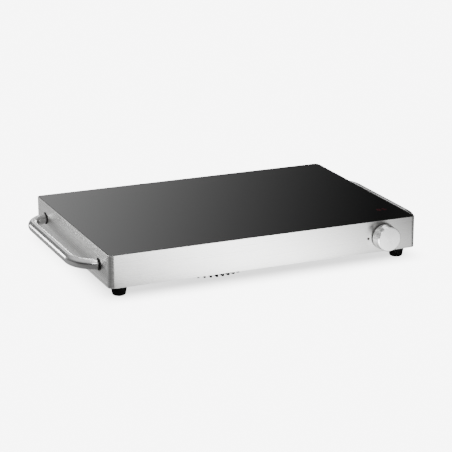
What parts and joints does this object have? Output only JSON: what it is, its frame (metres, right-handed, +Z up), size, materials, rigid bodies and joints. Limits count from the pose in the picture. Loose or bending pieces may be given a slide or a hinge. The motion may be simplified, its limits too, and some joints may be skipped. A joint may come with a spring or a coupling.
{
  "type": "electric food warmer tray",
  "caption": "Flat electric food warmer tray with a flush black glass top in a brushed steel box, bow handles on the short sides, rubber feet and a turn knob.",
  "frame": {"origin": "on the surface the feet stand on, under the middle of the box", "axes": "+X along the long side, to the right seen from the knob side; +Y from the knob side to the rear; +Z up"},
  "size_m": [0.5784, 0.379, 0.066],
  "materials": {
    "brushed_steel": "fine horizontal brushing, bright",
    "satin_tube": "satin, brushed along the tube",
    "turned_aluminium": "fine turned satin",
    "black_glass": "polished black, opaque, mirror smooth",
    "black_silicone": "smooth matt bead",
    "black_painted_sheet": "fine textured black powder coat",
    "black_plastic": "fine spark-eroded texture",
    "foot_rubber": "matt moulded rubber",
    "dark_lens": "smoked, unlit",
    "zinc_steel": "zinc-coated sheet",
    "plated_steel": "bright zinc plate",
    "plain_aluminium": "mill finish",
    "element_sheath": "heat-tinted sheath",
    "mineral_board": "pressed mineral fibre",
    "circuit_board": "solder mask",
    "display_case": "dark red filter",
    "relay_case": "moulded",
    "regulator_case": "moulded thermoset",
    "white_ceramic": "unglazed",
    "white_nylon": "natural nylon",
    "brass_parts": "plain"
  },
  "bodies": {
    "tray": {"backing_washers": "plated_steel", "bar_screws": "plated_steel", "base_frame": "zinc_steel", "board_spacers": "white_nylon", "bottom_plate": "black_painted_sheet", "cable_gland": "black_plastic", "control_board": "circuit_board", "display_board": "circuit_board", "display_module": "display_case", "display_posts": "white_nylon", "earth_nut": "brass_parts", "earth_stud": "brass_parts", "element_bars": "zinc_steel", "foot_front_left": "foot_rubber", "foot_front_right": "foot_rubber", "foot_nuts": "plated_steel", "foot_rear_left": "foot_rubber", "foot_rear_right": "foot_rubber", "foot_screws": "plated_steel", "gland_locknut": "black_plastic", "glass_frame": "zinc_steel", "glass_plate": "black_glass", "glass_seal": "black_silicone", "handle_bolts": "plated_steel", "handle_left": "satin_tube", "handle_left_plugs": "plated_steel", "handle_right": "satin_tube", "handle_right_plugs": "plated_steel", "handle_washers": "black_plastic", "heat_spreader": "plain_aluminium", "heating_element": "element_sheath", "housing": "brushed_steel", "insulation_board": "mineral_board", "insulation_tray": "zinc_steel", "knob_collar": "black_plastic", "pillar_screws": "plated_steel", "pilot_lamp_body": "black_plastic", "pilot_lamp_lens": "dark_lens", "plate_screws": "plated_steel", "power_regulator": "regulator_case", "regulator_nut": "plated_steel", "relay": "relay_case", "temperature_sensor": "plated_steel", "terminal_block": "white_ceramic", "thermal_cutout": "white_ceramic", "transformer": "relay_case", "tray_pillars": "plated_steel", "vent_grille": "black_plastic", "vent_screws": "plated_steel"},
    "knob": {"control_knob": "turned_aluminium", "knob_grub_screw": "plated_steel", "control_shaft": "plated_steel"}
  },
  "joints": [
    {"name": "knob_turn", "type": "hinge", "parent": "tray", "child": "knob", "pos_m": [0.194, -0.18, 0.041], "axis": [0, 1, 0], "range_deg": [0, 270]}
  ]
}
